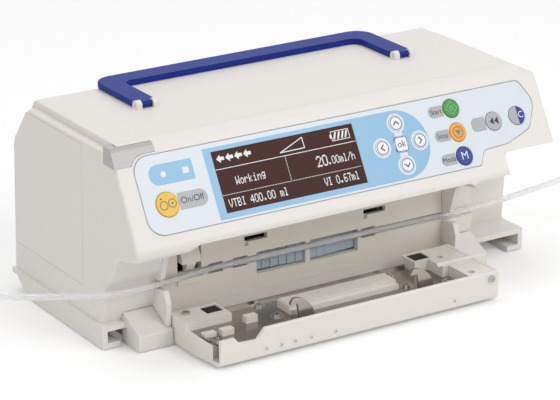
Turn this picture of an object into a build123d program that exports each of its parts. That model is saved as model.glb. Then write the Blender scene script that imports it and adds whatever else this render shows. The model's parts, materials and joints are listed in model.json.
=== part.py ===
"""Volumetric infusion pump with its door open and an IV line loaded.

Millimetres. X runs across the front (+X is the user's right), Y points from the
front to the back, Z is up. The origin lies under the middle of the base, on the
surface that the pump stands on.
"""

import os
from math import cos, radians, sin, tan

from build123d import *

# ---- overall sizes -------------------------------------------------------------
rail_half_width = 162.3  # outer face of each mounting rail
case_left_top = -157.0  # the left wall leans out a little from here ...
case_left_bottom = -160.0  # ... to here
case_right = 162.3
case_rear = 71.0
case_bottom = 15.7
side_top = 129.3  # top of the side walls
lid_top = 134.0  # raised middle of the top
lid_half_width = 151.0
rear_slope_start = 49.6  # where the top starts to slope down to the rear wall
rear_slope_end = 101.6  # height where that slope meets the rear wall
wall = 2.5
seam = 0.2  # gap between mouldings
edge_round = 2.2  # rounding where the side walls meet the other faces

# ---- control panel -------------------------------------------------------------
panel_tilt = 29.8  # leans back from the vertical
panel_origin_y = -89.5  # lower edge of the membrane
panel_origin_z = 82.3
panel_lip = 14.4  # bezel below the membrane's lower edge
overlay_left = -145.6
overlay_right = 155.3
overlay_height = 51.2
overlay_thickness = 0.5
display_left = -90.4
display_width = 104.0
display_bottom = 5.6
display_height = 39.2
key_radius = 6.2
big_key_radius = 7.8
arrow_key_radius = 5.0
key_clearance = 0.3
key_travel = 0.5
key_stand = 0.7  # height of a key's top above the membrane
board_depth = 9.2  # keypad board below the membrane's face

lens_left = case_left_top
lens_right = -127.6
lens_up = 46.0  # the alarm lens starts this far up the panel
lens_top = 133.2

# ---- pumping bay ---------------------------------------------------------------
bay_left = -121.0
bay_right = 96.0
bay_top = 73.5
deck_face = -52.0
deck_thickness = 5.0
fin_thickness = 3.5
tube_height = 37.6
tube_depth = -51.8  # axis of the IV line along the deck
tube_radius = 2.0
tube_bore = 1.4
groove_half_height = 2.3
step_top = 87.0  # underside of the head, right of the bay
saddle_back = -49.5  # the line leaves the bay through a saddle this deep
saddle_low = 34.0
lever_left = -105.5  # anti-free-flow pinch lever
lever_right = -91.0
lever_pivot_y = -48.6
lever_pivot_z = 62.0
deck_flange = 3.0  # case flange that the deck seats on

# ---- peristaltic drive ---------------------------------------------------------
finger_count = 12
finger_pitch = 6.1
finger_width = 5.7
finger_tip_low = 27.2
finger_tip_high = 40.6
window_low = 26.4
window_high = 41.4
window_left_centre = -30.1
window_right_centre = 10.5
window_half_width = 18.6
cam_y = -24.0
cam_z = 34.0
cam_radius = 6.0
cam_throw = 1.0
cam_width = 4.6
shaft_radius = 3.0
running = 0.05  # radial clearance of a turning shaft
motor_size = 42.0
motor_length = 40.0
motor_left = 52.0

# ---- door ----------------------------------------------------------------------
hinge_y = -64.0
hinge_z = 10.0
hinge_pin_radius = 2.0
door_left = -120.3
door_right = 93.0
door_reach = 57.6  # from the hinge axis to the door's far edge
door_skin = 8.0  # from the hinge axis down to the outer face, door open
door_rim = 11.7  # from the hinge axis up to the rim that meets the deck
door_wall = 2.5
plate_low = 13.0
plate_thickness = 1.0
platen_left = -51.0
platen_right = 31.0
platen_near = 16.2  # distances from the hinge axis
platen_far = 33.0
platen_top = 20.0
hook_left = -49.0
hook_right = 42.0
hook_reach = 44.0  # the hooks follow a circle of this radius about the hinge
hook_thickness = 2.0
hook_top = 28.5
latch_travel = 5.0

# ---- handle, rails and feet ----------------------------------------------------
handle_arm = 98.5  # centre line of each arm
handle_arm_width = 15.0
handle_bar_rear = 59.0
handle_bar_width = 16.0
handle_thickness = 4.0
handle_pivot_y = -1.0
handle_gap = 0.3
rail_plate = 3.5
rail_lip = 12.3
rail_front = -54.0
rail_rear = 50.0
tub_left = -141.0
tub_right = 118.0
foot_height = 0.8
pad_radius = 6.0
insert_spacing = 50.0  # pole-clamp inserts in the rear wall
insert_height = 62.0
insert_radius = 2.1

tilt = radians(panel_tilt)
panel = Plane(
    origin=(0, panel_origin_y, panel_origin_z),
    x_dir=(1, 0, 0),
    z_dir=(0, -cos(tilt), sin(tilt)),
)


def on_panel(up, out=0.0):
    """(y, z) of a point this far up the panel's slope and out from its face."""
    y = panel_origin_y + up * sin(tilt) - out * cos(tilt)
    z = panel_origin_z + up * cos(tilt) + out * sin(tilt)
    return (y, z)


def block(x, y, z, mode=Mode.ADD):
    """Add or cut a box, given its lowest and highest X, Y and Z."""
    with Locations(((x[0] + x[1]) / 2, (y[0] + y[1]) / 2, (z[0] + z[1]) / 2)):
        Box(x[1] - x[0], y[1] - y[0], z[1] - z[0], mode=mode)


def prism(points, x0, x1, radii=0.0, mode=Mode.ADD):
    """Extrude an outline of (y, z) points along X, its corners rounded by radii."""
    with BuildSketch(Plane.YZ.offset(x0)) as profile:
        with BuildLine():
            FilletPolyline(*points, radius=radii, close=True)
        make_face()
    extrude(profile.sketch, amount=x1 - x0, mode=mode)


def rod_x(x0, x1, y, z, radius, mode=Mode.ADD):
    """A cylinder along X."""
    with Locations(Location(((x0 + x1) / 2, y, z), (0, 90, 0))):
        Cylinder(radius, x1 - x0, mode=mode)


def rod_y(x, y0, y1, z, radius, mode=Mode.ADD):
    """A cylinder along Y."""
    with Locations(Location((x, (y0 + y1) / 2, z), (90, 0, 0))):
        Cylinder(radius, y1 - y0, mode=mode)


def rod_z(x, y, z0, z1, radius, mode=Mode.ADD):
    """A cylinder along Z."""
    with Locations((x, y, (z0 + z1) / 2)):
        Cylinder(radius, z1 - z0, mode=mode)


def save(part, name):
    """Label a finished piece and write it."""
    part.part.label = name
    export_step(part.part, f"parts/{name}.step")


def from_hinge(distance):
    """Y of a point of the open door this far in front of the hinge axis."""
    return hinge_y - distance


# The outlines that several mouldings share, as (y, z) points.
lid_front = -52.0  # seam between the head and the top cover
head_low = on_panel(-panel_lip)
side_outline = [
    (case_rear, case_bottom),
    (case_rear, rear_slope_end),
    (rear_slope_start, side_top),
    on_panel((side_top - panel_origin_z) / cos(tilt)),
    head_low,
    (-68.0, 64.0),
    (-62.0, 50.0),
    (-54.5, 42.0),
    (-53.5, 34.0),
    (-48.0, case_bottom),
]
side_radii = [0, 3, 3, 0, 6, 6, 10, 4, 4, 0]
middle_outline = [
    (case_rear + 2.2, rear_slope_end - 3.0),
    (case_rear + 2.2, rear_slope_end + 2.4),
    (rear_slope_start + 1.8, lid_top),
    on_panel((lid_top - panel_origin_z) / cos(tilt)),
    on_panel(30.0),
    (case_rear - 10.0, rear_slope_end - 3.0),
]
middle_radii = [0, 3, 4, 9, 0, 0]
left_lean = (case_left_top - case_left_bottom) / (side_top - case_bottom)


def lean_cut():
    """Cut away all that lies left of the leaning left wall."""
    with BuildSketch(Plane.XZ.offset(150)) as profile:
        with BuildLine():
            Polyline(
                (case_left_bottom - left_lean * case_bottom, 0),
                (case_left_top + left_lean * 30.0, side_top + 30.0),
                (-220, side_top + 30.0),
                (-220, 0),
                close=True,
            )
        make_face()
    extrude(profile.sketch, amount=-300, mode=Mode.SUBTRACT)


def outer_shape():
    """The pump's closed outer form, before bay, panel and seams are cut."""
    with BuildPart() as shape:
        prism(side_outline, case_left_bottom - 2, case_right, side_radii)
        lean_cut()
        for end in (0, -1):
            outline = shape.faces().sort_by(Axis.X)[end].edges()
            fillet(outline.sort_by(Axis.Z)[1:], edge_round)
    return shape.part


def recess_cuts():
    """Cut the loading bay and the step on its right out of the part being built."""
    with BuildSketch(Plane.XZ.offset(140)) as opening:
        with Locations(((bay_left + bay_right) / 2, bay_top / 2 - 10)):
            RectangleRounded(bay_right - bay_left, bay_top + 20, 9)
    depth = 140 + deck_face + deck_thickness
    extrude(opening.sketch, amount=-depth, mode=Mode.SUBTRACT)
    step_cuts(0)


def step_cuts(grow):
    """Cut the step under the head's right end, or the same grown by a wall."""
    high = step_top + grow
    step = [(-140, 10), (-140, high), (-44 + grow, high), (-34 + grow, 70), (-30 + grow, 10)]
    prism(step, bay_right + 25 - grow, case_right + 5, [0, 0, 14, 10, 0], Mode.SUBTRACT)
    back = saddle_back + grow
    low, high = saddle_low - grow, bay_top + grow
    saddle = [(-140, low), (-140, high), (back, high), (back, low)]
    prism(saddle, bay_right - 0.1, bay_right + 26, [0, 0, 8, 3], Mode.SUBTRACT)


# ---- case ----------------------------------------------------------------------
def cavity():
    """The space inside the case."""
    back = deck_face + deck_thickness
    inner = [
        (case_rear - wall, case_bottom - 1),
        (case_rear - wall, rear_slope_end - 1),
        (rear_slope_start - 1, side_top - wall),
        on_panel((side_top - wall - panel_origin_z) / cos(tilt), -3.0),
        on_panel(-5.0, -3.0),
        (-62.0, bay_top + wall),
        (back + 1.5, bay_top + wall),
        (back + 1.5, 45.0),
        (-43.0, case_bottom - 1),
    ]
    with BuildPart() as space:
        prism(inner, case_left_bottom + wall + 1, case_right - wall)
        step_cuts(wall)
        # Opening behind the deck, inside the flange that the deck seats on.
        block((bay_left + deck_flange, bay_right - deck_flange), (back - 0.1, back + 5),
              (case_bottom - 1, bay_top - deck_flange))
    return space.part


def make_main_case():
    with BuildPart() as case:
        add(outer_shape())
        prism(middle_outline, -lid_half_width, lid_half_width, middle_radii)
        # The top cover closes everything behind its seam.
        block((-170, 170), (lid_front - seam, 90), (side_top, 150), Mode.SUBTRACT)
        block((-170, 170), (case_rear, 90), (0, 150), Mode.SUBTRACT)
        slope = [
            (rear_slope_start, side_top),
            (case_rear, rear_slope_end),
            (95, 80),
            (95, 150),
            (rear_slope_start, 150),
        ]
        prism(slope, -170, 170, 0.0, Mode.SUBTRACT)
        add(cavity(), mode=Mode.SUBTRACT)
        recess_cuts()
        # Bay side fins with a notch that guides the line out.
        for x0 in (bay_left - fin_thickness, bay_right):
            upper_fin = [(-46, 74), (-82, 74), (-67, 60), (-61, 41.5), (-49.8, 39.2), (-46, 39.2)]
            prism(upper_fin, x0, x0 + fin_thickness, [0, 0, 12, 2, 0, 0])
            lower_fin = [
                (-46, 34.6), (-56, 34.4), (-65, 35.8), (-68.5, 28),
                (-67.5, 12.8), (-50.2, 21.4), (-46, 21.4),
            ]
            prism(lower_fin, x0, x0 + fin_thickness, [0, 2, 2, 6, 0, 0, 0])
        # The wall that closes the case behind each fin and beside the deck.
        for x0 in (bay_left - fin_thickness, bay_right):
            block((x0, x0 + fin_thickness), (-48, -43), (case_bottom, bay_top + wall))
        # Panel: pocket for the membrane, window and key holes.
        with BuildSketch(panel.offset(-overlay_thickness)):
            overlay_outline(0.0)
        extrude(amount=6, mode=Mode.SUBTRACT)
        with BuildSketch(panel.offset(-8)):
            display_rectangle(0.3)
            for x, up, radius in key_places().values():
                with Locations((x, up)):
                    Circle(radius + key_clearance + 0.2)
        extrude(amount=9, mode=Mode.SUBTRACT)
        # Seat of the alarm lens.
        add(lens_envelope(seam), mode=Mode.SUBTRACT)
        # Pocket of the left side cover.
        block((-170, -150), (-24.2, 68.3), (33.6, 127.0), Mode.SUBTRACT)
        # Opening under the top cover.
        block((-140, 140), (-44, 44), (side_top - 5, side_top + 1), Mode.SUBTRACT)
        # Mains inlet opening.
        block((58.5, 87.5), (60, 80), (24.5, 45.5), Mode.SUBTRACT)
        # Bosses and blind holes for a pole clamp.
        for x in (-insert_spacing / 2, insert_spacing / 2):
            for z in (insert_height - insert_spacing / 2, insert_height + insert_spacing / 2):
                rod_y(x, 60, case_rear - wall + 0.1, z, 5)
                rod_y(x, 62, 80, z, insert_radius, Mode.SUBTRACT)
        # Bosses for the four case screws.
        for x, y in screw_places():
            rod_z(x, y, case_bottom, 26, 4)
            edge = case_left_bottom + 1 if x < 0 else case_right - 1
            block((min(x, edge), max(x, edge)), (y - 2, y + 2), (case_bottom, 26))
            rod_z(x, y, case_bottom - 1, 24.5, 1.5, Mode.SUBTRACT)
        lean_cut()
    save(case, "main_case")


def screw_places():
    """(x, y) of the screws that hold the case on the base."""
    return [(-150, -24), (-150, 44), (150, -20), (150, 44)]


def lens_envelope(gap):
    """The alarm lens as a solid block, or its seat when gap is the clearance."""
    low = on_panel(lens_up - gap)
    crown = on_panel((lens_top + gap - panel_origin_z) / cos(tilt))
    outline = [low, crown, (lid_front, lens_top + gap), (lid_front, low[1])]
    with BuildPart() as envelope:
        prism(outline, lens_left - 1, lens_right + gap, [0, 5, 0, 0])
        # It stops short of the membrane's rounded corner.
        with BuildSketch(panel.offset(-20)) as corner:
            overlay_outline(gap - 1.2)
        extrude(corner.sketch, amount=30, mode=Mode.SUBTRACT)
    return envelope.part


def make_alarm_lens():
    front = on_panel(lens_up)
    crown = on_panel((lens_top - panel_origin_z) / cos(tilt))
    inside = [
        (front[0] + 3.5, front[1] - 1),
        (crown[0] + 2.6, lens_top - 2),
        (lid_front - 2, lens_top - 2),
        (lid_front - 2, front[1] - 1),
    ]
    with BuildPart() as lens:
        add(lens_envelope(0))
        prism(inside, lens_left + 2, lens_right - 2, [0, 2, 1, 0], Mode.SUBTRACT)
        lean_cut()
    save(lens, "alarm_lens")


def make_left_side_cover():
    with BuildPart() as cover:
        block((-170, -155.2), (-24, 68.1), (33.8, 126.8))
        lean_cut()
        slope = [(rear_slope_start, side_top), (90, 76.8), (90, 140), (rear_slope_start, 140)]
        prism(slope, -170, -140, 0.0, Mode.SUBTRACT)
        # Tongue that hooks behind the case wall along the lower edge.
        for y in (-10, 40):
            block((-156.3, -155.2), (y, y + 14), (31.5, 33.8))
    save(cover, "left_side_cover")


def make_top_cover():
    with BuildPart() as cover:
        prism(middle_outline, -lid_half_width, lid_half_width, middle_radii)
        block((-170, 170), (-140, lid_front), (0, 150), Mode.SUBTRACT)
        under = [
            (lid_front - 1, side_top),
            (rear_slope_start, side_top),
            (case_rear + 0.05, rear_slope_end),
            (case_rear + 0.05, 60),
            (lid_front - 1, 60),
        ]
        prism(under, -170, 170, 0.0, Mode.SUBTRACT)
        # Hollow under the flat of the lid.
        block((-138, 138), (-42, 42), (side_top - 1, lid_top - 2.2), Mode.SUBTRACT)
        fillet(cover.edges().filter_by(Axis.Y).group_by(Axis.Z)[-1], 1.2)
        # Lugs that carry the handle's pivot pins, one each side of each tongue.
        pivot_z = lid_top + handle_gap + handle_thickness / 2
        for side in (-1, 1):
            for x in (handle_arm - 6.0, handle_arm + 6.0):
                x0 = side * x - 1.9
                rod_x(x0, x0 + 3.8, handle_pivot_y, pivot_z, 3.2)
                block((x0, x0 + 3.8), (handle_pivot_y - 3.2, handle_pivot_y + 3.2),
                      (lid_top - 1, pivot_z))
                rod_x(x0 - 1, x0 + 4.8, handle_pivot_y, pivot_z, 1.0, Mode.SUBTRACT)
    save(cover, "top_cover")


# ---- control panel -------------------------------------------------------------
def key_places():
    """Name of each key: (x, distance up the panel, radius)."""
    return {
        "key_power": (-128.8, 18.7, big_key_radius),
        "key_start": (90.0, 41.2, key_radius),
        "key_stop": (90.0, 25.0, key_radius),
        "key_mode": (90.0, 8.9, key_radius),
        "key_purge": (119.5, 27.2, key_radius),
        "key_mute": (138.4, 27.7, key_radius),
        "key_up": (45.6, 39.0, arrow_key_radius),
        "key_down": (45.6, 11.0, arrow_key_radius),
        "key_left": (30.9, 25.0, arrow_key_radius),
        "key_right": (60.0, 25.0, arrow_key_radius),
        "key_ok": (45.4, 25.0, arrow_key_radius),
    }


def overlay_outline(inset):
    """The membrane's outline: square left end, round right end, notch below."""
    left = overlay_left + inset
    top = overlay_height - inset
    bottom = inset
    points = [
        (left, bottom),
        (101.0, bottom),
        (106.0, 9.5 + inset),
        (126.0, 10.5 + inset),
        (146.0, 17.5 + inset),
        (overlay_right - inset, 35.0),
        (147.0 - inset, top),
        (left, top),
    ]
    with BuildLine() as edge:
        FilletPolyline(*points, radius=[11, 2.5, 5, 20, 9, 12, 5, 11], close=True)
    make_face(edge.edges())


def display_rectangle(grow):
    with Locations((display_left + display_width / 2, display_bottom + display_height / 2)):
        Rectangle(display_width + 2 * grow, display_height + 2 * grow)


def make_membrane_overlay():
    with BuildPart() as overlay:
        with BuildSketch(panel.offset(-overlay_thickness)):
            overlay_outline(seam)
        extrude(amount=overlay_thickness)
        with BuildSketch(panel.offset(-1)):
            display_rectangle(0.1)
            for x, up, radius in key_places().values():
                with Locations((x, up)):
                    Circle(radius + key_clearance)
        extrude(amount=2, mode=Mode.SUBTRACT)
    save(overlay, "membrane_overlay")


def make_display_window():
    with BuildPart() as window:
        with BuildSketch(panel.offset(-2.8)):
            display_rectangle(0)
        extrude(amount=2.6)
    save(window, "display_window")


def make_lcd_module():
    with BuildPart() as module:
        with BuildSketch(panel.offset(-board_depth + 0.1)):
            display_rectangle(5)
        extrude(amount=board_depth - 3.2)
        with BuildSketch(panel.offset(-3.1)):
            display_rectangle(-0.5)
        extrude(amount=0.2)
    save(module, "lcd_module")


def make_front_board():
    with BuildPart() as board:
        with BuildSketch(panel.offset(-board_depth - 1.6)):
            with Locations((4, 26)):
                Rectangle(292, 42)
            # Notch above the step in the head's underside.
            with Locations((134, 8)):
                Rectangle(36, 16.4, mode=Mode.SUBTRACT)
        extrude(amount=1.6)
        with BuildSketch(panel.offset(-board_depth)):
            for x, up, _ in key_places().values():
                with Locations((x, up)):
                    Rectangle(6, 6)
            with Locations((-126.1, 37.4), (-110.4, 37.4)):
                Circle(1.5)
        extrude(amount=board_depth - 4.2 - key_travel)
        # Standoffs to the back of the panel wall.
        with BuildSketch(panel.offset(-board_depth)):
            with Locations((-136, 44), (-104, 8), (74, 44), (74, 8), (126, 44), (105, 20)):
                Circle(2)
        extrude(amount=board_depth - 3.0)
    save(board, "front_board")


def make_keys():
    for name, (x, up, radius) in key_places().items():
        with BuildPart() as key:
            with BuildSketch(panel.offset(-4.1)):
                with Locations((x, up)):
                    Circle(radius + 1.2)
            extrude(amount=0.9)
            with BuildSketch(panel.offset(-4.1)):
                with Locations((x, up)):
                    Circle(radius)
            extrude(amount=4.1 + key_stand)
            face = key.faces().sort_by(panel_axis)[-1]
            fillet(face.edges(), 0.5)
        save(key, name)


panel_axis = Axis((0, panel_origin_y, panel_origin_z), (0, -cos(tilt), sin(tilt)))


# ---- base ----------------------------------------------------------------------
def make_base_tray():
    foot = [(-70, foot_height), (-70, 11), (-50.4, 20.8), (-48.2, case_bottom), (-48.2, foot_height)]
    with BuildPart() as base:
        # Plate under the case, open above the tub.
        block((-rail_half_width, rail_half_width), (-48, case_rear - 0.5), (12.2, case_bottom))
        block((tub_left, tub_right), (deck_face, 66), (1.0, case_bottom))
        block((tub_left + 3, tub_right - 3), (-48.2, 63), (4.0, 20), Mode.SUBTRACT)
        # Rails: outer leg and a lip turned in at the bottom.
        for side in (-1, 1):
            outer = side * rail_half_width
            leg = sorted((outer, outer - side * rail_plate))
            lip = sorted((outer, outer - side * rail_lip))
            run = [
                (rail_front, foot_height),
                (rail_front, case_bottom),
                (rail_rear + 18, case_bottom),
                (rail_rear, foot_height),
            ]
            prism(run, leg[0], leg[1])
            low = [
                (rail_front, foot_height),
                (rail_front, foot_height + rail_plate),
                (rail_rear + 4, foot_height + rail_plate),
                (rail_rear, foot_height),
            ]
            prism(low, lip[0], lip[1])
            block(lip, (rail_front, -47), (12.2, case_bottom))
        # Bar across the front, right of the door, that the right rail joins.
        block((tub_right - 2, 152), (rail_front, -47), (12.2, case_bottom))
        block((-152, tub_left + 2), (rail_front, -47), (12.2, case_bottom))
        # Sloped front feet that carry the door hinge.
        for x0, x1 in ((-145.5, bay_left), (bay_right, 121.0)):
            prism(foot, x0, x1, [0, 1.5, 0, 0, 0])
        for x, y in pad_places():
            rod_z(x, y, 0, 1.6, pad_radius + 0.2, Mode.SUBTRACT)
        # Hinge pin holes, screw holes and counterbores.
        rod_x(bay_left - 9, bay_left + 1, hinge_y, hinge_z, hinge_pin_radius, Mode.SUBTRACT)
        rod_x(bay_right - 1, bay_right + 9, hinge_y, hinge_z, hinge_pin_radius, Mode.SUBTRACT)
        for x, y in screw_places():
            rod_z(x, y, 12, 20, 1.7, Mode.SUBTRACT)
    save(base, "base_tray")


def pad_places():
    return [(-133, -58), (108.5, -58), (-128, 54), (105, 54)]


def make_rubber_feet():
    with BuildPart() as pads:
        for x, y in pad_places():
            rod_z(x, y, 0, 1.6, pad_radius)
    save(pads, "rubber_feet")


def make_case_screws():
    with BuildPart() as screws:
        for x, y in screw_places():
            rod_z(x, y, 10.4, 12.2, 3.0)
            rod_z(x, y, 11, 24, 1.5)
            block((x - 2, x + 2), (y - 0.4, y + 0.4), (10, 11.2), Mode.SUBTRACT)
            block((x - 0.4, x + 0.4), (y - 2, y + 2), (10, 11.2), Mode.SUBTRACT)
    save(screws, "case_screws")


# ---- handle --------------------------------------------------------------------
def make_carry_handle():
    low = lid_top + handle_gap
    pivot_z = low + handle_thickness / 2
    outer = handle_arm + handle_arm_width / 2
    inner = handle_arm - handle_arm_width / 2
    bar_front = handle_bar_rear - handle_bar_width
    arm_end = handle_pivot_y + 4.2
    with BuildPart() as handle:
        with BuildSketch(Plane.XY.offset(low)):
            with BuildLine():
                points = [
                    (-outer, arm_end),
                    (-outer, handle_bar_rear),
                    (outer, handle_bar_rear),
                    (outer, arm_end),
                    (inner, arm_end),
                    (inner, bar_front),
                    (-inner, bar_front),
                    (-inner, arm_end),
                ]
                FilletPolyline(*points, radius=[0, 13, 13, 0, 0, 7, 7, 0], close=True)
            make_face()
        extrude(amount=handle_thickness)
        # Narrow tongues that turn on the pins.
        for side in (-1, 1):
            x0 = side * handle_arm - 3.9
            block((x0, x0 + 7.8), (handle_pivot_y, arm_end + 1), (low, low + handle_thickness))
            rod_x(x0, x0 + 7.8, handle_pivot_y, pivot_z, handle_thickness / 2)
            rod_x(x0 - 1, x0 + 9, handle_pivot_y, pivot_z, 1.0 + running, Mode.SUBTRACT)
        fillet(handle.edges().filter_by(Axis.X).group_by(Axis.Y)[-1], 0.8)
    save(handle, "carry_handle")


def make_handle_pins():
    pivot_z = lid_top + handle_gap + handle_thickness / 2
    with BuildPart() as pins:
        for side in (-1, 1):
            x0 = side * handle_arm - 7.9
            rod_x(x0, x0 + 15.8, handle_pivot_y, pivot_z, 1.0)
    save(pins, "handle_pins")


# ---- pumping bay ---------------------------------------------------------------
def make_deck_plate():
    back = deck_face + deck_thickness
    with BuildPart() as deck:
        with BuildSketch(Plane.XZ.offset(-back)):
            with Locations(((bay_left + bay_right) / 2, bay_top / 2 - 10)):
                RectangleRounded(bay_right - bay_left - 2 * seam, bay_top + 20 - 2 * seam, 8.8)
        extrude(amount=deck_thickness)
        block((-170, 170), (-70, -40), (-30, case_bottom + 0.1), Mode.SUBTRACT)
        # Groove that the line lies in.
        groove = (tube_height - groove_half_height, tube_height + groove_half_height)
        block((bay_left, bay_right), (-60, deck_face + 3.0), groove, Mode.SUBTRACT)
        # Windows in front of the fingers.
        for centre in (window_left_centre, window_right_centre):
            block((centre - window_half_width, centre + window_half_width), (-60, -40),
                  (window_low, window_high), Mode.SUBTRACT)
        # Latch slots, with room behind them for the hook to slide.
        slot_z = hinge_z + (hook_reach**2 - (deck_face + 1.5 - hinge_y) ** 2) ** 0.5
        for x in (hook_left, hook_right):
            block((x - 8.6, x + 8.6), (-60, -40), (slot_z - 1.9, slot_z + 1.9), Mode.SUBTRACT)
            block((x - 8.6, x - 5.6), (-60, deck_face + 2), (slot_z - 4.5, slot_z), Mode.SUBTRACT)
            block((x - 15, x + 9.2), (deck_face + 3, -40), (slot_z - 5, slot_z + 3), Mode.SUBTRACT)
        # Recesses of the tube sensors.
        for x0, x1 in sensor_places():
            block((x0, x1), (-60, -40), (34.2, 41.0), Mode.SUBTRACT)
        # Pocket of the pinch lever, with bearing bosses behind it.
        block((lever_left - 1.5, lever_right + 1.5), (-60, -40), (tube_height + 1, 69.7),
              Mode.SUBTRACT)
        for x0 in (lever_left - 5.5, lever_right + 1.5):
            block((x0, x0 + 4), (back, -40.5), (55, 69))
        rod_x(lever_left - 6, lever_right + 6, lever_pivot_y, lever_pivot_z, 2.0 + running,
              Mode.SUBTRACT)
        # Ledge under the groove at the clamp, which the line is pinched against.
        block((-107.5, -89.5), (deck_face - 1.8, deck_face + 0.1), (31.5, 35.2))
    save(deck, "deck_plate")


def sensor_places():
    return [(-84.5, -73.5), (-66.5, -55.5), (31.8, 42.8)]


def make_tube_sensors():
    face = tube_depth + tube_radius + 0.2
    with BuildPart() as sensors:
        for x0, x1 in sensor_places():
            block((x0 + 0.3, x1 - 0.3), (face, -44), (34.5, 40.7))
            block((x0 - 2, x1 + 2), (-46.9, -43), (32, 43))
    save(sensors, "tube_sensors")


def make_pinch_clamp_lever():
    arm = [
        (-52.4, 66.0),
        (-46.0, 66.0),
        (-46.0, 52.0),
        (-47.6, 44.5),
        (-49.6, tube_height + tube_radius + 0.2),
        (-51.6, tube_height + tube_radius + 0.2),
        (-55.0, 44.5),
        (-55.0, 49.5),
        (-52.4, 54.0),
    ]
    with BuildPart() as lever:
        prism(arm, lever_left + 0.5, lever_right - 0.5, [0, 0, 4, 1, 0, 0, 1, 2, 2])
        rod_x(lever_left, lever_right, -50.6, lever_pivot_z, 5.2)
        # The tip is half as wide as the arm.
        for x0 in (lever_left - 1, lever_right - 4):
            block((x0, x0 + 5), (-60, -40), (36, 45.5), Mode.SUBTRACT)
        rod_x(lever_left - 5, lever_right + 5, lever_pivot_y, lever_pivot_z, 2.0)
    save(lever, "pinch_clamp_lever")


# ---- peristaltic drive ---------------------------------------------------------
def finger_centres():
    middle = (finger_count / 2 - 1) / 2
    half = range(finger_count // 2)
    left = [window_left_centre + (i - middle) * finger_pitch for i in half]
    right = [window_right_centre + (i - middle) * finger_pitch for i in half]
    return left + right


def finger_phase(index):
    return radians(360 * index / finger_count)


def make_fingers():
    half_y = cam_radius + 2 * cam_throw + 0.2
    half_z = cam_radius + cam_throw + 0.2
    for index, x in enumerate(finger_centres()):
        shift = cam_throw * cos(finger_phase(index))
        tip = tube_depth + tube_radius + 0.1 + cam_throw + shift
        x0, x1 = x - finger_width / 2, x + finger_width / 2
        with BuildPart() as finger:
            block((x0, x1), (tip, cam_y + shift), (finger_tip_low, finger_tip_high))
            block((x0, x1), (-45.6 + shift + cam_throw, cam_y + half_y + 2.4 + shift),
                  (cam_z - half_z - 2.3, cam_z + half_z + 2.3))
            block((x0, x1), (cam_y - half_y + shift, cam_y + half_y + shift),
                  (cam_z - half_z, cam_z + half_z), Mode.SUBTRACT)
            fillet(finger.edges().filter_by(Axis.X).group_by(Axis.Y)[0], 1.0)
        save(finger, f"finger_{index + 1:02d}")


def make_camshaft():
    first = finger_centres()[0] - finger_pitch
    with BuildPart() as shaft:
        rod_x(first - 3, 45, cam_y, cam_z, shaft_radius)
        for index, x in enumerate(finger_centres()):
            phase = finger_phase(index)
            y = cam_y + cam_throw * cos(phase)
            z = cam_z + cam_throw * sin(phase)
            rod_x(x - cam_width / 2, x + cam_width / 2, y, z, cam_radius)
        # Coupling sleeve and the motor's own shaft.
        rod_x(40, 50, cam_y, cam_z, 5)
        rod_x(40, motor_left + 9, cam_y, cam_z, 2.5)
    save(shaft, "camshaft")


def make_pump_frame():
    left = finger_centres()[0] - finger_pitch + 1.2
    right = finger_centres()[-1] + finger_pitch - 1.2
    back = deck_face + deck_thickness
    half_z = cam_radius + cam_throw + 0.2 + 2.3
    low, high = cam_z - half_z, cam_z + half_z
    with BuildPart() as frame:
        for x0 in (left - 3, right):
            block((x0, x0 + 3), (back, -10), (low - 3, high + 3))
        block((left - 3, motor_left), (-44, -12), (low - 3, low - 0.2))
        block((left - 3, right + 3), (-44, -12), (high + 0.2, high + 3))
        block((motor_left - 3, motor_left), (-44, -4), (13.5, 54.5))
        rod_x(left - 4, right + 4, cam_y, cam_z, shaft_radius + running, Mode.SUBTRACT)
        rod_x(motor_left - 4, motor_left + 1, cam_y, cam_z, 11.2, Mode.SUBTRACT)
        # Flanges against the back of the deck.
        for x0 in (left - 11, right):
            block((x0, x0 + 11), (back, back + 3), (low - 3, high + 3))
        for x0, x1 in sensor_places():
            block((x0 - 2.3, x1 + 2.3), (-50, -42.7), (31.7, 43.3), Mode.SUBTRACT)
    save(frame, "pump_frame")


def make_stepper_motor():
    half = motor_size / 2
    with BuildPart() as motor:
        block((motor_left, motor_left + motor_length), (cam_y - half, cam_y + half),
              (cam_z - half, cam_z + half))
        chamfer(motor.edges().filter_by(Axis.X), 4)
        rod_x(motor_left - 2, motor_left, cam_y, cam_z, 11)
        rod_x(motor_left - 3, motor_left + 10, cam_y, cam_z, 2.5 + running, Mode.SUBTRACT)
    save(motor, "stepper_motor")


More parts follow.
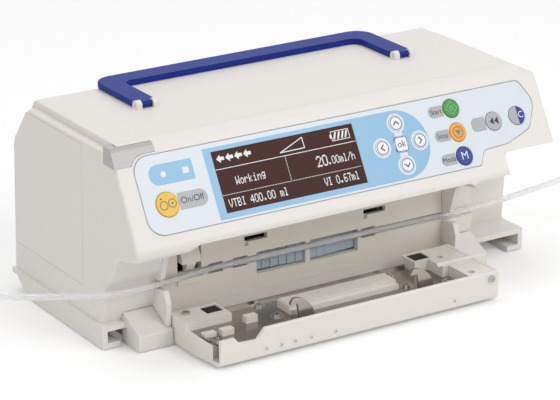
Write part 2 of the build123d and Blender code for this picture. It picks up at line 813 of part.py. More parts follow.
# ---- door ----------------------------------------------------------------------
def make_door_shell():
    skin_low = hinge_z - door_skin
    skin_high = skin_low + door_wall
    rim = hinge_z + door_rim
    far = from_hinge(door_reach)
    with BuildPart() as door:
        # Skin with its front wall, hinge-side wall and the two end walls.
        outline = [
            (from_hinge(0), skin_low),
            (from_hinge(0), 15.0),
            (from_hinge(door_wall), 15.0),
            (from_hinge(door_wall), skin_high),
            (from_hinge(door_reach - door_wall), skin_high),
            (from_hinge(door_reach - door_wall), rim),
            (far, rim),
            (far + 1.5, skin_low),
        ]
        prism(outline, door_left, door_right, [2, 1, 0, 0, 0, 0, 1, 2])
        # Right end: wall and raised block, with a seat for its foam pad.
        block((door_right - door_wall, door_right), (far + 1, from_hinge(0)), (skin_high, rim))
        block((71.0, door_right), (far + 1, from_hinge(0)), (skin_high, rim - 0.3))
        block((55.5, 71.5), (from_hinge(15.5), from_hinge(0)), (skin_high, rim - 0.3))
        block((66.2, 71.5), (from_hinge(32), from_hinge(0)), (skin_high, rim - 0.3))
        block((57.0, 69.0), (from_hinge(13.5), from_hinge(2.0)), (rim - 2.5, rim), Mode.SUBTRACT)
        for x, y in ((74.5, -80.3), (76.7, -113.0)):
            rod_z(x, y, rim - 6, rim, 2.6, Mode.SUBTRACT)
        # Left end: low wall, raised block with its pad seat, and locating posts.
        block((door_left, door_left + door_wall), (far + 1, from_hinge(0)), (skin_high, 14.6))
        block((door_left, -87.0), (from_hinge(20.5), from_hinge(0)), (skin_high, 19.5))
        block((-100.5, -88.5), (from_hinge(13.5), from_hinge(2.0)), (17.2, 20), Mode.SUBTRACT)
        for x, y, high in post_places():
            block((x - 4.2, x + 4.2), (y - 2.4, y + 2.4), (skin_high, high))
        # The rim drops left of the pinch lever and is cut away in front of it.
        block((door_left - 1, -106.5), (far - 1, -86), (19.6, 25), Mode.SUBTRACT)
        cut_away = [(-109.5, 22.5), (-103.5, 15.6), (-91.0, 15.0), (-84.5, 22.5)]
        with BuildSketch(Plane.XZ.offset(-far + 5)):
            with BuildLine():
                Polyline(*cut_away, close=True)
            make_face()
        extrude(amount=-12, mode=Mode.SUBTRACT)
        # Way for the line through the right end when the door is shut.
        rod_x(60, 100, from_hinge(tube_height - hinge_z), hinge_z + tube_depth - hinge_y,
              tube_radius + 0.5, Mode.SUBTRACT)
        # Slanted corner of the left end.
        with BuildSketch(Plane.XY.offset(-5)):
            with BuildLine():
                Polyline((door_left - 5, -95), (door_left + 0.1, -95), (door_left + 4, far - 3),
                         (door_left - 5, far - 3), close=True)
            make_face()
        extrude(amount=40, mode=Mode.SUBTRACT)
        # Hinge holes.
        rod_x(door_left - 1, door_left + 8, hinge_y, hinge_z, 4.8)
        rod_x(door_right - 8, door_right, hinge_y, hinge_z, 4.8)
        block((door_left - 2, door_left), (-75, -55), (0, 20), Mode.SUBTRACT)
        rod_x(door_left - 1, door_left + 7, hinge_y, hinge_z, hinge_pin_radius + running,
              Mode.SUBTRACT)
        rod_x(door_right - 7, door_right + 1, hinge_y, hinge_z, hinge_pin_radius + running,
              Mode.SUBTRACT)
        # Thumb recess of the latch in the outer face, with a slot through the skin.
        block((16, 43), (from_hinge(hook_reach + 5), from_hinge(hook_reach - 5)),
              (0, skin_low + 1.2), Mode.SUBTRACT)
        block((22, 37), (from_hinge(hook_reach + 2), from_hinge(hook_reach - 2)),
              (0, skin_high + 1), Mode.SUBTRACT)
        # Bosses under the plate's screws.
        for x, y in plate_screws():
            rod_z(x, y, skin_high, plate_low, 3.2)
            rod_z(x, y, skin_high + 0.5, plate_low + 1, 1.2, Mode.SUBTRACT)
        rod_z(-112.1, -70.6, 12, 20, 1.2, Mode.SUBTRACT)
        rod_y(87.0, far - 3, far + 9, 17.0, 1.2, Mode.SUBTRACT)
    save(door, "door_shell")


def post_places():
    """(x, y, top) of the white locating posts in the door."""
    return [(-111.1, -97.3, 16.4), (-100.5, -100.6, 18.0), (-77.7, -91.2, 18.5)]


def plate_screws():
    return [
        (-60.2, -72.6),
        (-58.7, -92.5),
        (37.2, -74.9),
        (37.9, -96.0),
        (65.2, -104.0),
        (-112.0, -106.0),
    ]


def make_door_plate():
    far = from_hinge(door_reach - door_wall - 0.3)
    with BuildPart() as plate:
        block((door_left + door_wall + 0.3, 70.7), (far, from_hinge(door_wall + 0.3)),
              (plate_low, plate_low + plate_thickness))
        # Turned-up edge along the hinge.
        block((-86.7, 55.2), (from_hinge(door_wall + 1.3), from_hinge(door_wall + 0.3)),
              (plate_low, plate_low + 3.0))
        block((-125, -86.7), (from_hinge(20.8), from_hinge(0)), (5, 30), Mode.SUBTRACT)
        block((55.2, 72), (from_hinge(15.8), from_hinge(0)), (5, 30), Mode.SUBTRACT)
        block((65.9, 72), (from_hinge(32.3), from_hinge(0)), (5, 30), Mode.SUBTRACT)
        block((platen_left - 0.4, platen_right + 0.4),
              (from_hinge(platen_far + 0.4), from_hinge(platen_near - 0.4)), (5, 30),
              Mode.SUBTRACT)
        for x in (hook_left, hook_right):
            block((x - 3.4 - latch_travel, x + 8.4),
                  (from_hinge(hook_reach + 1.4), from_hinge(hook_reach - 1.4)), (5, 30),
                  Mode.SUBTRACT)
        for x, y, _ in post_places():
            block((x - 4.5, x + 4.5), (y - 2.7, y + 2.7), (5, 30), Mode.SUBTRACT)
        for x, y in plate_screws():
            rod_z(x, y, 5, 30, 1.7, Mode.SUBTRACT)
        # Corner cut along the slanted left end.
        with BuildSketch(Plane.XY):
            with BuildLine():
                Polyline((door_left - 2, -93), (door_left + 3.2, -93), (door_left + 7.5, far - 1),
                         (door_left - 2, far - 1), close=True)
            make_face()
        extrude(amount=30, mode=Mode.SUBTRACT)
    save(plate, "door_plate")


def make_platen():
    near, far = from_hinge(platen_near), from_hinge(platen_far)
    with BuildPart() as bar:
        block((platen_left, platen_right), (far, near), (8.5, platen_top))
        chamfer(bar.edges().group_by(Axis.Z)[-1], 1.0)
        block((platen_left - 2, platen_right + 2), (far - 1.6, near + 1.6),
              (8.5, plate_low - 0.1))
        # Shallow step along the far edge.
        block((platen_left - 1, platen_right + 1), (far - 3, far + 3.2), (17.2, 25), Mode.SUBTRACT)
    save(bar, "platen_bar")


def make_platen_springs():
    low = hinge_z - door_skin + door_wall
    rise = 8.5 - low
    middle_y = from_hinge((platen_near + platen_far) / 2)
    with BuildPart() as springs:
        for x in (platen_left + 20, platen_right - 20):
            with BuildSketch(Plane.XZ.offset(-middle_y - 4)):
                with BuildLine():
                    ThreePointArc((x - 15, low + 0.5), (x, low + rise), (x + 15, low + 0.5))
                    ThreePointArc((x + 15, low), (x, low + rise - 0.5), (x - 15, low))
                    Line((x - 15, low), (x - 15, low + 0.5))
                    Line((x + 15, low), (x + 15, low + 0.5))
                make_face()
            extrude(amount=8)
    save(springs, "platen_springs")


def make_latch_bar():
    low = hinge_z - door_skin + door_wall + 0.2
    middle = from_hinge(hook_reach)
    with BuildPart() as latch:
        for x in (hook_left, hook_right):
            with BuildSketch(Plane.XZ.offset(-middle - 8)):
                with BuildLine():
                    Line((x - 3, low), (x - 3, 25.4))
                    Line((x - 3, 25.4), (x - 8, 25.4))
                    Line((x - 8, 25.4), (x - 8, 26.2))
                    Line((x - 8, 26.2), (x - 5.6, hook_top))
                    ThreePointArc((x - 5.6, hook_top), (x + 4.2, 25.6), (x + 8, 17))
                    Line((x + 8, 17), (x + 8, low))
                    Line((x + 8, low), (x - 3, low))
                make_face()
            extrude(amount=10)
        # The hooks curve about the hinge, so that they enter narrow slots.
        inner = hook_reach - hook_thickness / 2
        rod_x(hook_left - 20, hook_right + 20, hinge_y, hinge_z, inner, Mode.SUBTRACT)
        rod_x(hook_left - 20, hook_right + 20, hinge_y, hinge_z, inner + hook_thickness,
              Mode.INTERSECT)
        block((hook_left - 6, hook_right + 10), (middle - 2.5, middle + 2.5), (low, low + 2))
        block((27.5, 36.5), (middle - 1.7, middle + 1.7), (2.6, low + 0.1))
    save(latch, "latch_bar")


def make_door_screws():
    top = plate_low + plate_thickness
    with BuildPart() as screws:
        for x, y in plate_screws():
            pan_screw(x, y, top, 7)
        pan_screw(-112.1, -70.6, 19.5, 7)
        with Locations(Location((87.0, from_hinge(door_reach) - 0.4, 17.0), (90, 0, 0))):
            Cylinder(2.4, 1.2)
        rod_y(87.0, from_hinge(door_reach), from_hinge(door_reach) + 7, 17.0, 1.2)
        block((85.4, 88.6), (-123, from_hinge(door_reach) - 0.5), (16.7, 17.3), Mode.SUBTRACT)
        block((86.7, 87.3), (-123, from_hinge(door_reach) - 0.5), (15.4, 18.6), Mode.SUBTRACT)
    save(screws, "door_screws")


def pan_screw(x, y, seat, length):
    """A pan-head screw with a cross recess, its head on the height seat."""
    rod_z(x, y, seat, seat + 1.5, 2.7)
    rod_z(x, y, seat - length, seat + 0.1, 1.2)
    block((x - 1.7, x + 1.7), (y - 0.35, y + 0.35), (seat + 0.7, seat + 2), Mode.SUBTRACT)
    block((x - 0.35, x + 0.35), (y - 1.7, y + 1.7), (seat + 0.7, seat + 2), Mode.SUBTRACT)


def make_door_pads():
    with BuildPart() as pads:
        block((57.3, 68.7), (from_hinge(13.2), from_hinge(2.3)),
              (hinge_z + door_rim - 2.5, hinge_z + door_rim - 0.8))
        block((-100.2, -88.8), (from_hinge(13.2), from_hinge(2.3)), (17.2, 18.7))
    save(pads, "door_pads")


def make_door_hinge_pins():
    with BuildPart() as pins:
        rod_x(bay_left - 8.5, door_left + 6.5, hinge_y, hinge_z, hinge_pin_radius)
        rod_x(door_right - 6.5, bay_right + 8.5, hinge_y, hinge_z, hinge_pin_radius)
    save(pins, "door_hinge_pins")


# ---- electronics ---------------------------------------------------------------
def make_battery_pack():
    with BuildPart() as pack:
        block((-132, -66), (2, 58), (4.0, 48))
        fillet(pack.edges().filter_by(Axis.X), 4)
    save(pack, "battery_pack")


def make_main_board():
    with BuildPart() as board:
        block((-134, -46), (60.9, 62.5), (54, 97))
        for x in (-130, -50):
            for z in (58, 93):
                rod_y(x, 62.5, case_rear - wall, z, 2.5)
        for x0, x1, z0, z1 in ((-120, -104, 64, 80), (-96, -84, 66, 78), (-76, -56, 60, 68)):
            block((x0, x1), (58, 60.9), (z0, z1))
    save(board, "main_board")


def make_power_module():
    with BuildPart() as module:
        block((0, 112), (6, 56), (8.0, 9.6))
        for x in (4, 108):
            for y in (10, 52):
                rod_z(x, y, 4.0, 8.0, 3)
        block((62, 98), (12, 44), (9.6, 36))
        block((36, 52), (14, 40), (9.6, 24))
        for x in (10, 24):
            rod_z(x, 20, 9.6, 30, 5)
    save(module, "power_module")


def make_mains_inlet():
    rear = case_rear
    with BuildPart() as inlet:
        block((53, 93), (rear, rear + 2.0), (22, 48))
        block((59, 87), (rear - 14, rear + 0.1), (25, 45))
        block((61, 85), (rear - 11, rear + 3), (27, 43), Mode.SUBTRACT)
        for x, z in ((66, 33.0), (73, 37.0), (80, 33.0)):
            block((x - 1, x + 1), (rear - 12, rear - 1.5), (z - 2, z + 2))
        for x in (56, 90):
            rod_y(x, rear - 1, rear + 3, 35, 1.6, Mode.SUBTRACT)
    save(inlet, "mains_inlet")


# ---- IV line -------------------------------------------------------------------
def tube_along(points, name):
    """A tube along a hand-set route: straight runs joined by tangent arcs."""
    nodes = [Vector(*p) for p in points]
    radii = []
    for before, here, after in zip(nodes, nodes[1:], nodes[2:]):
        turn = (here - before).get_angle(after - here)
        run = min((here - before).length, (after - here).length)
        radii.append(0.45 * run / tan(radians(turn / 2)))
    with BuildPart() as line:
        with BuildLine() as route:
            FilletPolyline(*points, radius=radii)
        with BuildSketch(Plane(origin=route.wire() @ 0, z_dir=route.wire() % 0)):
            Circle(tube_radius)
            Circle(tube_bore, mode=Mode.SUBTRACT)
        sweep()
    area = 3.141593 * (tube_radius**2 - tube_bore**2)
    length = route.wire().length
    print(name, "length", round(length, 1), "radii", [round(r) for r in radii],
          "volume over section times length", round(line.part.volume / (area * length), 4))
    save(line, name)


line_left_exit = (bay_left - fin_thickness, -57.2, 37.4)
line_right_exit = (bay_right + fin_thickness, tube_depth, tube_height)
line_left_end = (-268.0, -33.5, 53.0)
line_right_end = (224.0, -51.0, 45.5)


def carry_on(before, here, distance):
    """The point this far past here, in line with the run that led to it."""
    run = Vector(*here) - Vector(*before)
    return tuple(Vector(*here) + run.normalized() * distance)


def make_iv_line():
    loaded = [
        line_left_exit,
        (-106.0, -55.2, 37.5),
        (-84.0, tube_depth, tube_height),
        (-24.0, tube_depth + 0.01, tube_height + 0.01),
        (38.0, tube_depth, tube_height),
        line_right_exit,
    ]
    left = [
        line_left_exit,
        carry_on((-106.0, -55.2, 37.5), line_left_exit, 24),
        (-178.0, -54.0, 40.0),
        (-214.0, -44.5, 44.5),
        line_left_end,
    ]
    right = [
        line_right_exit,
        carry_on((38.0, tube_depth, tube_height), line_right_exit, 32),
        (176.0, -51.4, 41.0),
        line_right_end,
    ]
    tube_along(loaded, "iv_line_loaded")
    tube_along(left, "iv_line_left")
    tube_along(right, "iv_line_right")


def make_luer(name, end, before, collar):
    """A luer fitting that carries on in line from the end of the tube."""
    tip = Vector(*end)
    along = (tip - Vector(*before)).normalized()
    seat = Plane(origin=tip, z_dir=along)
    with BuildPart() as luer:
        for start, height, low_r, high_r in (
            (0, 12, 3.4, 3.8),
            (12, 3, 5.2, 5.2),
            (15, 11, collar, collar),
        ):
            with BuildSketch(seat.offset(start)):
                Circle(low_r)
            with BuildSketch(seat.offset(start + height)):
                Circle(high_r)
            loft()
        with BuildSketch(seat.offset(18)):
            Circle(collar - 1.4)
            Circle(2.1, mode=Mode.SUBTRACT)
        extrude(amount=9, mode=Mode.SUBTRACT)
    save(luer, name)


if __name__ == "__main__":
    os.makedirs("parts", exist_ok=True)
    make_main_case()
    make_alarm_lens()
    make_left_side_cover()
    make_top_cover()
    make_membrane_overlay()
    make_display_window()
    make_lcd_module()
    make_front_board()
    make_keys()
    make_base_tray()
    make_rubber_feet()
    make_case_screws()
    make_carry_handle()
    make_handle_pins()
    make_deck_plate()
    make_tube_sensors()
    make_pinch_clamp_lever()
    make_fingers()
    make_camshaft()
    make_pump_frame()
    make_stepper_motor()
    make_door_shell()
    make_door_plate()
    make_platen()
    make_platen_springs()
    make_latch_bar()
    make_door_screws()
    make_door_pads()
    make_door_hinge_pins()
    make_battery_pack()
    make_main_board()
    make_power_module()
    make_mains_inlet()
    make_iv_line()
    make_luer("luer_left", line_left_end, (-214.0, -44.5, 44.5), 4.6)
    make_luer("luer_right", line_right_end, (176.0, -51.4, 41.0), 4.6)
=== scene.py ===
"""Looks of an infusion pump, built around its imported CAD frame.

Sizes are in millimetres, except the lamps and the floor, which are in metres.
A place on the control panel is x across it, up its slope, and out from its face.
"""
import json
import math

import bpy
from mathutils import Matrix, Vector


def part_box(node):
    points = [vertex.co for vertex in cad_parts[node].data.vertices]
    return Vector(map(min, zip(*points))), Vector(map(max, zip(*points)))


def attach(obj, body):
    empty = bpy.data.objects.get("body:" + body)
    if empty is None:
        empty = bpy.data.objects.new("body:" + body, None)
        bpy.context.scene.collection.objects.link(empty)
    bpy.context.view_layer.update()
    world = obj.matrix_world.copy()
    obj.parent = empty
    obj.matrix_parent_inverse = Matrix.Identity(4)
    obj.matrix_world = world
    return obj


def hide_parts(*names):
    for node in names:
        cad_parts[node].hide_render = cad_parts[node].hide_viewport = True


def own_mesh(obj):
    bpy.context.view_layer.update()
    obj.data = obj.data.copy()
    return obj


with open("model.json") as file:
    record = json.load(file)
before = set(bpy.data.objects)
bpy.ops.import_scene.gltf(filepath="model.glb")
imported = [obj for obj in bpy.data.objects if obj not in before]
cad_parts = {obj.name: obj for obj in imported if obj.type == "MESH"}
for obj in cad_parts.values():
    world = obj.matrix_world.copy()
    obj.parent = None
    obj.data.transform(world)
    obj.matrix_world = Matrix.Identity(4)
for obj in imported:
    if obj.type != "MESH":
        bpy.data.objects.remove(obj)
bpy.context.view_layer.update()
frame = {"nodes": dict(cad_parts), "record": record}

MM = 0.001
BODY = "pump_body"


def mm(x, y, z):
    return Vector((x, y, z)) * MM


def add_object(name, data):
    """A new object in the scene, holding this data."""
    thing = bpy.data.objects.new(name, data)
    bpy.context.scene.collection.objects.link(thing)
    return thing


# ---- camera --------------------------------------------------------------------
CAMERA_AT = mm(-870.2, -1402.1, 650.9)
CAMERA_TARGET = mm(1.68, 0, 51.2)
CAMERA_ROLL = math.radians(-0.42)

camera_data = bpy.data.cameras.new("camera")
camera_data.sensor_width = 36.0
camera_data.lens = 170.3
camera_data.clip_end = 20.0
camera = add_object("camera", camera_data)
camera.rotation_mode = "QUATERNION"
camera.location = CAMERA_AT
aim = (CAMERA_TARGET - CAMERA_AT).to_track_quat("-Z", "Y")
camera.rotation_quaternion = aim @ Matrix.Rotation(CAMERA_ROLL, 3, "Z").to_quaternion()
bpy.context.scene.camera = camera


# ---- materials -----------------------------------------------------------------
def display_colour(r, g, b):
    """Linear colour of a value from 0 to 255 as a screen shows it."""
    out = []
    for v in (r, g, b):
        s = v / 255
        out.append(s / 12.92 if s <= 0.04045 else ((s + 0.055) / 1.055) ** 2.4)
    return (*out, 1.0)


def surface(name, colour, rough=0.4, grain=1500, bump=0.05, depth=0.05, vary=0.04,
            metal=0.0, stretch=(1, 1, 1), through=0.0, ior=1.46):
    """A moulded, printed or metal surface with grain and small changes of shade."""
    m = bpy.data.materials.new(name)
    m.use_nodes = True
    nodes, links = m.node_tree.nodes, m.node_tree.links
    shader = nodes["Principled BSDF"]
    shader.inputs["Metallic"].default_value = metal
    shader.inputs["Transmission Weight"].default_value = through
    shader.inputs["IOR"].default_value = ior
    place = nodes.new("ShaderNodeTexCoord")
    mapping = nodes.new("ShaderNodeMapping")
    mapping.inputs["Scale"].default_value = stretch
    links.new(place.outputs["Object"], mapping.inputs["Vector"])
    fine = nodes.new("ShaderNodeTexNoise")
    fine.inputs["Scale"].default_value = grain
    fine.inputs["Detail"].default_value = 3.0
    links.new(mapping.outputs["Vector"], fine.inputs["Vector"])
    broad = nodes.new("ShaderNodeTexNoise")
    broad.inputs["Scale"].default_value = 14.0
    links.new(place.outputs["Object"], broad.inputs["Vector"])
    shade = nodes.new("ShaderNodeMix")
    shade.data_type = "RGBA"
    shade.inputs["A"].default_value = tuple(c * (1 - vary) for c in colour[:3]) + (1,)
    shade.inputs["B"].default_value = tuple(min(1, c * (1 + vary)) for c in colour[:3]) + (1,)
    links.new(broad.outputs["Fac"], shade.inputs["Factor"])
    links.new(shade.outputs["Result"], shader.inputs["Base Color"])
    gloss = nodes.new("ShaderNodeMapRange")
    gloss.inputs["To Min"].default_value = max(0.02, rough - 0.06)
    gloss.inputs["To Max"].default_value = min(1, rough + 0.06)
    links.new(fine.outputs["Fac"], gloss.inputs["Value"])
    links.new(gloss.outputs["Result"], shader.inputs["Roughness"])
    relief = nodes.new("ShaderNodeBump")
    relief.inputs["Strength"].default_value = bump
    relief.inputs["Distance"].default_value = depth * MM
    links.new(fine.outputs["Fac"], relief.inputs["Height"])
    links.new(relief.outputs["Normal"], shader.inputs["Normal"])
    return m


def finish(name, colour, rough, grain, bump, **rest):
    """A surface whose colour is given as a screen shows it."""
    return surface(name, display_colour(*colour), rough, grain, bump, **rest)


# By slot: colour, roughness, grain, bump, and whatever differs from the usual.
FINISHES = {
    "case_white": ((232, 228, 223), 0.42, 1600, 0.18, dict(depth=0.06, vary=0.012)),
    "door_white": ((233, 229, 222), 0.34, 1200, 0.08, dict(vary=0.015)),
    "handle_blue": ((14, 40, 132), 0.46, 1400, 0.12, dict(ior=1.3)),
    "membrane": ((218, 225, 232), 0.3, 2600, 0.06, dict(vary=0.015)),
    "display": ((72, 46, 40), 0.5, 900, 0.01, dict(vary=0.03, ior=1.2)),
    "lens_grey": ((206, 203, 202), 0.2, 900, 0.03, dict(through=0.25)),
    "finger_grey": ((178, 193, 203), 0.38, 1200, 0.1, {}),
    "steel": ((164, 158, 152), 0.22, 500, 0.12,
              dict(depth=0.03, vary=0.08, metal=1.0, stretch=(0.15, 3, 3))),
    "screw_steel": ((196, 194, 190), 0.24, 900, 0.08, dict(metal=1.0)),
    "foam_black": ((38, 36, 36), 0.85, 1100, 0.6, dict(depth=0.2, vary=0.15)),
    "rubber_black": ((44, 44, 44), 0.7, 1300, 0.3, dict(depth=0.1, vary=0.1)),
    "line_clear": ((252, 252, 253), 0.1, 300, 0.004, dict(through=0.7, ior=1.16)),
    "board_green": ((28, 96, 58), 0.35, 900, 0.2, dict(depth=0.1, vary=0.1)),
    "battery_blue": ((44, 72, 128), 0.25, 300, 0.2, dict(depth=0.1)),
    "motor_black": ((52, 52, 54), 0.42, 1200, 0.2, {}),
    "inlet_black": ((42, 42, 43), 0.45, 1500, 0.2, {}),
    "frame_grey": ((172, 174, 178), 0.45, 1300, 0.12, {}),
    "key_yellow": ((232, 186, 52), 0.32, 2200, 0.06, {}),
    "key_green": ((52, 140, 58), 0.32, 2200, 0.06, {}),
    "key_orange": ((236, 162, 36), 0.32, 2200, 0.06, {}),
    "key_blue": ((22, 48, 138), 0.32, 2200, 0.06, {}),
    "key_grey": ((172, 174, 178), 0.32, 2200, 0.06, {}),
    "key_white": ((238, 240, 243), 0.32, 2200, 0.05, dict(vary=0.01)),
}
MATERIALS = {slot: finish(slot, *look, **rest) for slot, (*look, rest) in FINISHES.items()}

# Each ink is a material paired with the name of a slot.
FIELD_BLUE = finish("print_blue", (138, 186, 219), 0.3, 2600, 0.05, vary=0.02), "membrane"
DARK = finish("print_dark", (44, 46, 52), 0.4, 2600, 0.03), "foam_black"
PALE = finish("print_pale", (230, 233, 236), 0.4, 2600, 0.03, vary=0.01), "key_white"
LIME = finish("print_lime", (128, 190, 120), 0.4, 2600, 0.03), "key_green"
SLATE = finish("print_slate", (120, 116, 108), 0.4, 2600, 0.03), "finger_grey"
KEY_BLUE, KEY_GREY, KEY_WHITE, SCREW_STEEL = (
    (MATERIALS[slot], slot) for slot in ("key_blue", "key_grey", "key_white", "screw_steel"))

for part in frame["record"]["subparts"]:
    node = frame["nodes"][part["node"]]
    node.data.materials.clear()
    node.data.materials.append(MATERIALS[part["material_slot"]])
# The deck in the recess is tinted a warmer tan than the door plastic. This is painted shade of
# the recess, not a colour of its own.
frame["nodes"]["deck_plate"].data.materials[0] = finish(
    "deck_tan_painted_shade", (235, 229, 219), 0.36, 1200, 0.08, vary=0.02)


# ---- IV line -------------------------------------------------------------------
TUBE_DIAMETER = 4.0 * MM
LEFT_EXIT = Vector((-124.5, -57.2, 37.4))
RIGHT_EXIT = Vector((99.5, -51.8, 37.6))


def carry_on(before, here, distance):
    """The point this far past here, in line with the run that led to it."""
    return here + (here - Vector(before)).normalized() * distance


def iv_line(name, node, route):
    """One run of the line outside the pump, in place of its CAD node."""
    curve = bpy.data.curves.new(name, "CURVE")
    curve.dimensions = "3D"
    curve.resolution_u = 16
    curve.bevel_depth = TUBE_DIAMETER / 2
    curve.bevel_resolution = 8
    curve.use_fill_caps = True
    line = curve.splines.new("NURBS")
    line.points.add(len(route) - 1)
    for spot, at in zip(line.points, route):
        spot.co = (*(Vector(at) * MM), 1.0)
    line.order_u = 3
    line.use_endpoint_u = True
    curve.materials.append(MATERIALS["line_clear"])
    piece = add_object(name, curve)
    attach(piece, BODY)
    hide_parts(node)


iv_line("line_run_left", "iv_line_left", [
    LEFT_EXIT,
    carry_on((-106.0, -55.2, 37.5), LEFT_EXIT, 24),
    (-178.0, -54.0, 40.0),
    (-214.0, -44.5, 44.5),
    (-268.0, -33.5, 53.0),
])
iv_line("line_run_right", "iv_line_right", [
    RIGHT_EXIT,
    carry_on((38.0, -51.8, 37.6), RIGHT_EXIT, 32),
    (176.0, -51.4, 41.0),
    (224.0, -51.0, 45.5),
])


# ---- flat pieces on the panel ----------------------------------------------------
TILT = math.radians(29.8)
SLOPE = Vector((0, math.sin(TILT), math.cos(TILT)))
OUTWARD = Vector((0, -math.cos(TILT), math.sin(TILT)))
PANEL_ORIGIN = Vector((0, -89.5, 82.3))
PRINT = 0.04  # thickness of a printed layer
FIELD_LAYER = 0.01  # height of what is printed straight on a face
MARK_LAYER = 0.06  # height of what is printed over that
KEY_TOP = 0.7
GLASS_TOP = -0.2


def on_panel(x, up, out):
    """A place on the panel, in the scene's metres."""
    return (PANEL_ORIGIN + Vector((x, 0, 0)) + SLOPE * up + OUTWARD * out) * MM


def riding(name, mesh, material, body):
    """A piece of this mesh and material that rides on a body."""
    mesh.materials.append(material)
    piece = add_object(name, mesh)
    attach(piece, body)


def piece_from(name, verts, faces, material, body):
    mesh = bpy.data.meshes.new(name)
    mesh.from_pydata(verts, [], faces)
    riding(name, mesh, material, body)


def prisms(name, outlines, out, material, slot, body=BODY, place=on_panel):
    """Closed thin plates, one for each anticlockwise outline, as one piece."""
    verts, faces = [], []
    for outline in outlines:
        n, first = len(outline), len(verts)
        verts += [place(x, up, out) for x, up in outline]
        verts += [place(x, up, out + PRINT) for x, up in outline]
        faces.append([first + i for i in reversed(range(n))])
        faces.append([first + n + i for i in range(n)])
        for i in range(n):
            j = (i + 1) % n
            faces.append([first + i, first + j, first + n + j, first + n + i])
    piece_from(name, verts, faces, material, body)


def arc(x, up, radius, start, end, steps=12):
    turn = [math.radians(start + (end - start) * i / steps) for i in range(steps + 1)]
    return [(x + radius * math.cos(a), up + radius * math.sin(a)) for a in turn]


def oblong(x0, x1, u0, u1):
    return [(x0, u0), (x1, u0), (x1, u1), (x0, u1)]


def disc(x, up, radius):
    return arc(x, up, radius, 0, 360, 48)[:-1]


def rounded(x0, x1, u0, u1, low_left, low_right, top_right, top_left):
    """An outline of a rectangle with a radius at each corner."""
    return (arc(x0 + low_left, u0 + low_left, low_left, 180, 270)
            + arc(x1 - low_right, u0 + low_right, low_right, 270, 360)
            + arc(x1 - top_right, u1 - top_right, top_right, 0, 90)
            + arc(x0 + top_left, u1 - top_left, top_left, 90, 180))


def stroke(x0, u0, x1, u1, width):
    """An outline of a straight stroke with square ends."""
    run = Vector((x1 - x0, u1 - u0)).normalized() * width / 2
    side = Vector((-run.y, run.x))
    a, b = Vector((x0, u0)) - run, Vector((x1, u1)) + run
    return [tuple(p) for p in (a - side, b - side, b + side, a + side)]


def bands(name, pairs, out, material, slot, body=BODY, place=on_panel):
    """Flat closed bands, each between an outer and an inner outline, as one piece."""
    verts, faces = [], []
    for outer, inner in pairs:
        n, loops = len(outer), []
        for outline, height in ((outer, 0), (outer, PRINT), (inner, PRINT), (inner, 0)):
            loops.append(len(verts))
            verts += [place(x, up, out + height) for x, up in outline]
        for k in range(4):
            a, b = loops[k], loops[(k + 1) % 4]
            for i in range(n):
                j = (i + 1) % n
                faces.append([a + i, a + j, b + j, b + i])
    piece_from(name, verts, faces, material, body)


def rings(name, circles, out, material, slot, body=BODY, place=on_panel):
    """Flat closed rings (x, up, outer radius, inner radius) as one piece."""
    pairs = [(disc(x, up, outer), disc(x, up, inner)) for x, up, outer, inner in circles]
    bands(name, pairs, out, material, slot, body, place)


def words(name, text, x, up, size, out, material, slot, body=BODY):
    """A generic word or sign, centred at x and up, lying on the panel."""
    font = bpy.data.curves.new(name + "_outline", "FONT")
    font.body = text
    font.size = size * MM
    font.extrude = PRINT * MM / 2
    font.align_x = "CENTER"
    font.align_y = "CENTER"
    source = add_object(name + "_outline", font)
    bpy.context.view_layer.update()
    shaped = source.evaluated_get(bpy.context.evaluated_depsgraph_get())
    mesh = bpy.data.meshes.new_from_object(shaped)
    bpy.data.objects.remove(source)
    turn = Matrix((Vector((1, 0, 0)), SLOPE, OUTWARD)).transposed().to_4x4()
    mesh.transform(Matrix.Translation(on_panel(x, up, out + PRINT / 2)) @ turn)
    mesh.materials.clear()
    riding(name, mesh, material, body)


# ---- printed fields --------------------------------------------------------------
DISPLAY_LEFT, DISPLAY_BOTTOM = -90.4, 5.6
DISPLAY_WIDTH, DISPLAY_HEIGHT = 104.0, 39.2
DISPLAY_RIGHT = DISPLAY_LEFT + DISPLAY_WIDTH
DISPLAY_TOP = DISPLAY_BOTTOM + DISPLAY_HEIGHT
EDGE = 0.15  # kept clear around the display

field_left, field_right, field_low, field_high = -96.0, 67.0, 2.0, 47.6
field_split = 23.0  # between the display's part and the arrow keys' part
bend = (field_high - field_low) / 2
gap_left, gap_right = DISPLAY_LEFT - EDGE, DISPLAY_RIGHT + EDGE
gap_low, gap_high = DISPLAY_BOTTOM - EDGE, DISPLAY_TOP + EDGE
strips = [
    rounded(field_left, gap_left, field_low, field_high, 0.2, 0.05, 0.05, 0.2),
    oblong(gap_left, gap_right, field_low, gap_low),
    oblong(gap_left, gap_right, gap_high, field_high),
    oblong(gap_right, field_split, field_low, field_high),
    [(field_split, field_low)]
    + arc(field_right - bend, (field_low + field_high) / 2, bend, -90, 90, 36)
    + [(field_split, field_high)],
]
prisms("panel_field", strips, FIELD_LAYER, *FIELD_BLUE)
prisms("lamp_tab", [rounded(-136.0, -105.0, 31.0, 44.0, 6.2, 0.6, 0.6, 6.2)], FIELD_LAYER,
       *FIELD_BLUE)
prisms("lamp_windows", [disc(-126.1, 37.5, 1.9),
                        rounded(-112.6, -108.2, 35.4, 39.4, 0.5, 0.5, 0.5, 0.5)],
       MARK_LAYER, *PALE)


def filleted(points, radii):
    """The outline through these corners, each rounded to its radius."""
    outline = []
    for k, radius in enumerate(radii):
        here = Vector(points[k])
        to_last = (Vector(points[k - 1]) - here).normalized()
        to_next = (Vector(points[(k + 1) % len(points)]) - here).normalized()
        half = to_last.angle(to_next) / 2
        centre = here + (to_last + to_next).normalized() * radius / math.sin(half)
        first = here + to_last * radius / math.tan(half) - centre
        last = here + to_next * radius / math.tan(half) - centre
        for step in range(13):
            outline.append(tuple(centre + first.slerp(last, step / 12) * radius))
    return outline


